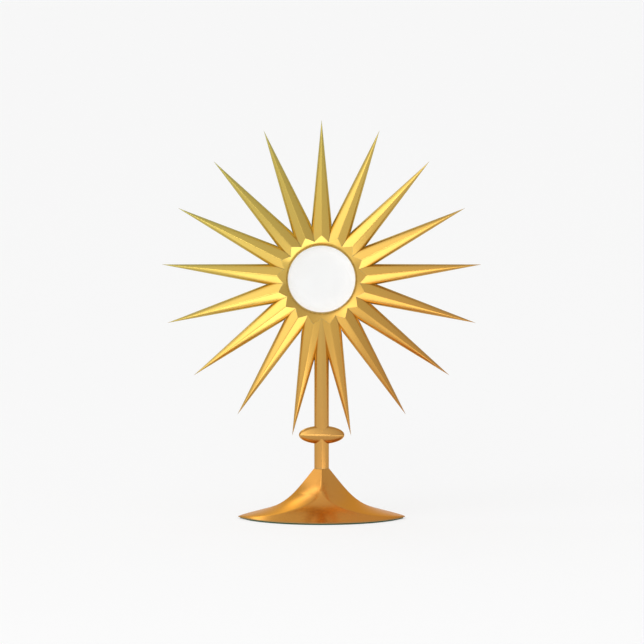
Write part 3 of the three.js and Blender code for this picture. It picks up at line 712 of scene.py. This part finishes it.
def door_piece():
    x, y, _, _ = hinge_line()
    front, back = y / MM - 1.4, y / MM + 1.4
    shell = turned_about_y(mm_profile(
        (34.5, back - 1.2), (37.2, back - 1.2), (37.2, front), (43.4, front), (43.4, back - 0.5),
        (42.6, back), (41.6, back), (41.2, back - 0.35), (40.6, back - 0.35), (40.2, back),
        (35.6, back), (34.5, back - 0.7),
    ))
    shell.box((42 * MM, front * MM, SUN_Z - 4.9 * MM), (x, back * MM, SUN_Z + 4.9 * MM))
    shell.upright_rod(x, y, SUN_Z - 5 * MM, SUN_Z + 5 * MM, KNUCKLE_R)
    thumb_piece_end = node_box("luna_door")[0][0]
    shell.box(
        (thumb_piece_end, (front + 0.4) * MM, SUN_Z - 4 * MM),
        (-42.5 * MM, (back - 0.4) * MM, SUN_Z + 4 * MM),
    )
    make_piece("door_worked", "luna_door", shell, "gilt_brass_rear", "rear_door", 30, bevel=0.3 * MM)


def pin_piece():
    x, y, z0, z1 = hinge_line()
    shell = Shell()
    shell.upright_rod(x, y, z0 + 0.5 * MM, z1 - 0.5 * MM, PIN_R)
    shell.upright_rod(x, y, z0, z0 + 1.0 * MM, 1.8 * MM)
    shell.upright_rod(x, y, z1 - 1.0 * MM, z1, 1.8 * MM)
    make_piece("hinge_pin_worked", "hinge_pin", shell, "gilt_brass_rear", "luna", 30, bevel=0.25 * MM)


def disc_piece(node, body, slot, bevel=0):
    low, high = node_box(node)
    radius = (high[2] - low[2]) / 2
    shell = turned_about_y([(0, low[1]), (radius, low[1]), (radius, high[1]), (0, high[1])])
    make_piece(node + "_round", node, shell, slot, body, 30, bevel=bevel)


def screw_piece(node):
    """Slotted pan head standing on the flange, with its shank."""
    low, high = node_box(node)
    x0, z0 = (low[0] + high[0]) / 2, (low[2] + high[2]) / 2
    radius = max(high[0] - low[0], high[2] - low[2]) / 2
    top = high[1]
    u = radius * mirrored([0.13, 0.15, 0.3, 0.5, 0.7, 0.88, 1.0])[:, None]
    v = np.sqrt(np.maximum(radius**2 - u * u, 0)) * np.linspace(-1, 1, 13)
    u = np.broadcast_to(u, v.shape)
    dome = top - 0.75 * MM * (np.hypot(u, v) / radius) ** 3
    in_slot = np.abs(u) <= 0.14 * radius
    depth = np.where(in_slot, np.minimum(dome, top - 0.85 * MM), dome)
    turn = slot_angle(x0, z0)

    def placed(y):
        x = x0 + u * math.cos(turn) - v * math.sin(turn)
        z = z0 + u * math.sin(turn) + v * math.cos(turn)
        return np.stack([x, y, z], axis=-1)

    shell = slab(placed(depth), placed(np.full_like(depth, FLANGE_BACK_Y)), SIDE_EDGES)
    make_piece(node + "_slotted", node, shell, "steel", "stand", 35)


def slot_angle(x, z):
    """The angle at which a screw's slot stands after it was driven home, different for each place."""
    return (x * 913.7 + z * 577.3) % math.pi


for index, name in enumerate(RAYS):
    ray_piece(index, name)
stem_piece("upper_stem")
stem_piece("lower_stem")
knop_piece()
foot_piece()
bezel_piece()
case_piece()
luna_piece()
door_piece()
pin_piece()
disc_piece("host", "luna", "host_wafer", bevel=0.15 * MM)
disc_piece("front_glass", "stand", "clear_glass")
disc_piece("luna_glass", "luna", "clear_glass")
disc_piece("door_glass", "rear_door", "clear_glass")
for name in NODES:
    if name.startswith(("ray_screw", "stem_screw")):
        screw_piece(name)

# ---- carried CAD nodes keep their shape and take a finish ----
FINISH = {
    "lunette": "gilt_brass_rear",
    "glass_gasket": "gasket",
    "base_plate": "ballast",
    "felt_pad": "felt",
    "tie_rod": "steel",
    "nut": "steel",
    "washer": "steel",
    "bezel_screw_1": "steel",
    "bezel_screw_2": "steel",
    "bezel_screw_3": "steel",
}
for name, slot in FINISH.items():
    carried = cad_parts[name]
    carried.data.materials.clear()
    carried.data.materials.append(MATERIALS[slot])


# ---- floor, light and camera ----
FLOOR_R = 60
FLOOR_CLEARANCE = 0.1 * MM  # keeps the floor off the felt's underside
FLOOR_GREY = 0.42
FLOOR_GLOW = 0.495
WHITE = (1, 1, 1, 1)
SKY_BASE = 0.70
# softboxes: direction, strength, sharpness
SKY_LOBES = (
    ((-0.586, -0.616, 0.527), 1.4, 14.0),
    ((-0.75, -0.50, 0.43), 0.40, 3.0),
    ((-0.966, -0.259, 0.0), 0.15, 4.0),
    ((0.0, -0.342, 0.94), 0.15, 5.0),
    ((0.0, -1.0, 0.15), 0.20, 6.0),
    ((-0.2, 1.0, 0.5), 0.10, 3.0),
    ((-0.76, 0.24, 0.60), 0.6, 40.0),
)
STRIP_AXIS = (-0.787, 0.192, -0.586)
STRIP_PLACE = 0.06
STRIP_WIDTH = 0.08
STRIP_STRENGTH = 1.7
# the strip eases in along each of these directions, between the two values
STRIP_EASES = (((0, 1, 0), -0.35, -0.05), ((0, 0, 1), 0.38, 0.60))
CAMERA_ELEVATION = math.radians(5.7)
CAMERA_DISTANCE = 12.0
CAMERA_AIM = (0.0004, 0.0, 0.1975)
HALF_VIEW = 0.322  # half the width that the picture spans at the object
SENSOR_WIDTH = 36


def floor_piece():
    bpy.ops.mesh.primitive_circle_add(
        vertices=96, radius=FLOOR_R, fill_type="NGON", location=(0, 0, -FLOOR_CLEARANCE)
    )
    floor = bpy.context.object
    floor.name = "floor"
    made, _, _, shader = new_material("pale_floor")
    shader.inputs["Base Color"].default_value = (FLOOR_GREY, FLOOR_GREY, FLOOR_GREY, 1)
    shader.inputs["Roughness"].default_value = 0.9
    shader.inputs["Specular IOR Level"].default_value = 0.0
    shader.inputs["Emission Color"].default_value = WHITE
    shader.inputs["Emission Strength"].default_value = FLOOR_GLOW
    floor.data.materials.append(made)


def area_light(name, place, aim, size, radiance, spread_deg=180):
    lamp = bpy.data.lights.new(name, "AREA")
    lamp.shape = "RECTANGLE"
    lamp.size, lamp.size_y = size
    lamp.energy = radiance * math.pi * size[0] * size[1]
    lamp.spread = math.radians(spread_deg)
    holder = bpy.data.objects.new(name, lamp)
    bpy.context.scene.collection.objects.link(holder)
    holder.location = place
    z_axis = (Vector(place) - Vector(aim)).normalized()
    x_axis = (Vector((1, 0, 0)) - z_axis * z_axis.x).normalized()
    holder.rotation_euler = Matrix((x_axis, z_axis.cross(x_axis), z_axis)).transposed().to_euler()
    holder.visible_camera = False


def sky():
    """Soft studio: even all round, with softboxes and a long curved strip box."""
    world = bpy.data.worlds.new("studio")
    bpy.context.scene.world = world
    world.use_nodes = True
    nodes, links = world.node_tree.nodes, world.node_tree.links
    direction = nodes.new("ShaderNodeTexCoord").outputs["Generated"]

    def along(axis):
        dot = nodes.new("ShaderNodeVectorMath")
        dot.operation = "DOT_PRODUCT"
        dot.inputs[1].default_value = axis
        links.new(direction, dot.inputs[0])
        return dot.outputs["Value"]

    total = SKY_BASE
    for towards, strength, sharpness in SKY_LOBES:
        facing = maths(nodes, links, "MAXIMUM", along(Vector(towards).normalized()), 0.0)
        raised = maths(nodes, links, "POWER", facing, sharpness)
        total = maths(nodes, links, "MULTIPLY_ADD", raised, strength, total)
    # the strip runs over the left shoulder and down behind
    off = maths(nodes, links, "SUBTRACT", along(Vector(STRIP_AXIS).normalized()), STRIP_PLACE)
    off = maths(nodes, links, "DIVIDE", off, STRIP_WIDTH)
    squared = maths(nodes, links, "MULTIPLY", off, off)
    strip = maths(nodes, links, "EXPONENT", maths(nodes, links, "MULTIPLY", squared, -1.0))
    for axis, start, full in STRIP_EASES:
        ease = nodes.new("ShaderNodeMapRange")
        ease.interpolation_type = "SMOOTHSTEP"
        ease.inputs["From Min"].default_value = start
        ease.inputs["From Max"].default_value = full
        links.new(along(axis), ease.inputs["Value"])
        strip = maths(nodes, links, "MULTIPLY", strip, ease.outputs["Result"])
    total = maths(nodes, links, "MULTIPLY_ADD", strip, STRIP_STRENGTH, total)
    background = nodes["Background"]
    links.new(total, background.inputs["Strength"])
    background.inputs["Color"].default_value = WHITE


def camera():
    lens_data = bpy.data.cameras.new("camera")
    lens_data.sensor_width = SENSOR_WIDTH
    lens_data.lens = SENSOR_WIDTH / 2 / (HALF_VIEW / CAMERA_DISTANCE)
    lens_data.clip_start, lens_data.clip_end = 0.05, 200
    holder = bpy.data.objects.new("camera", lens_data)
    bpy.context.scene.collection.objects.link(holder)
    back = Vector((0, -math.cos(CAMERA_ELEVATION), math.sin(CAMERA_ELEVATION)))
    holder.location = Vector(CAMERA_AIM) + back * CAMERA_DISTANCE
    holder.rotation_mode = "QUATERNION"
    holder.rotation_quaternion = (-back).to_track_quat("-Z", "Y")
    bpy.context.scene.camera = holder


floor_piece()
sky()
area_light("low_front", (0.185, -0.26, 0.004), (0.185, -0.26, 1), (0.27, 0.30), 1.7)
# two panels with grids, leaning left, so that the right-hand rays don't see them
lean = Vector((-0.30, 0.30, 0.90))
for number, x in enumerate((-0.10, 0.0)):
    place = Vector((x, -0.185, 0.03))
    area_light(f"low_grid_{number}", place, place + lean, (0.105, 0.158), 0.72, spread_deg=100)
area_light("low_left", (-0.255, -0.26, 0.004), (-0.255, -0.26, 1), (0.21, 0.36), 0.45)
area_light("front_key", (-0.5, -4.6, 1.7), (0, 0, 0.22), (2.0, 1.3), 4.2)
camera()
bpy.context.scene.view_settings.view_transform = "Standard"
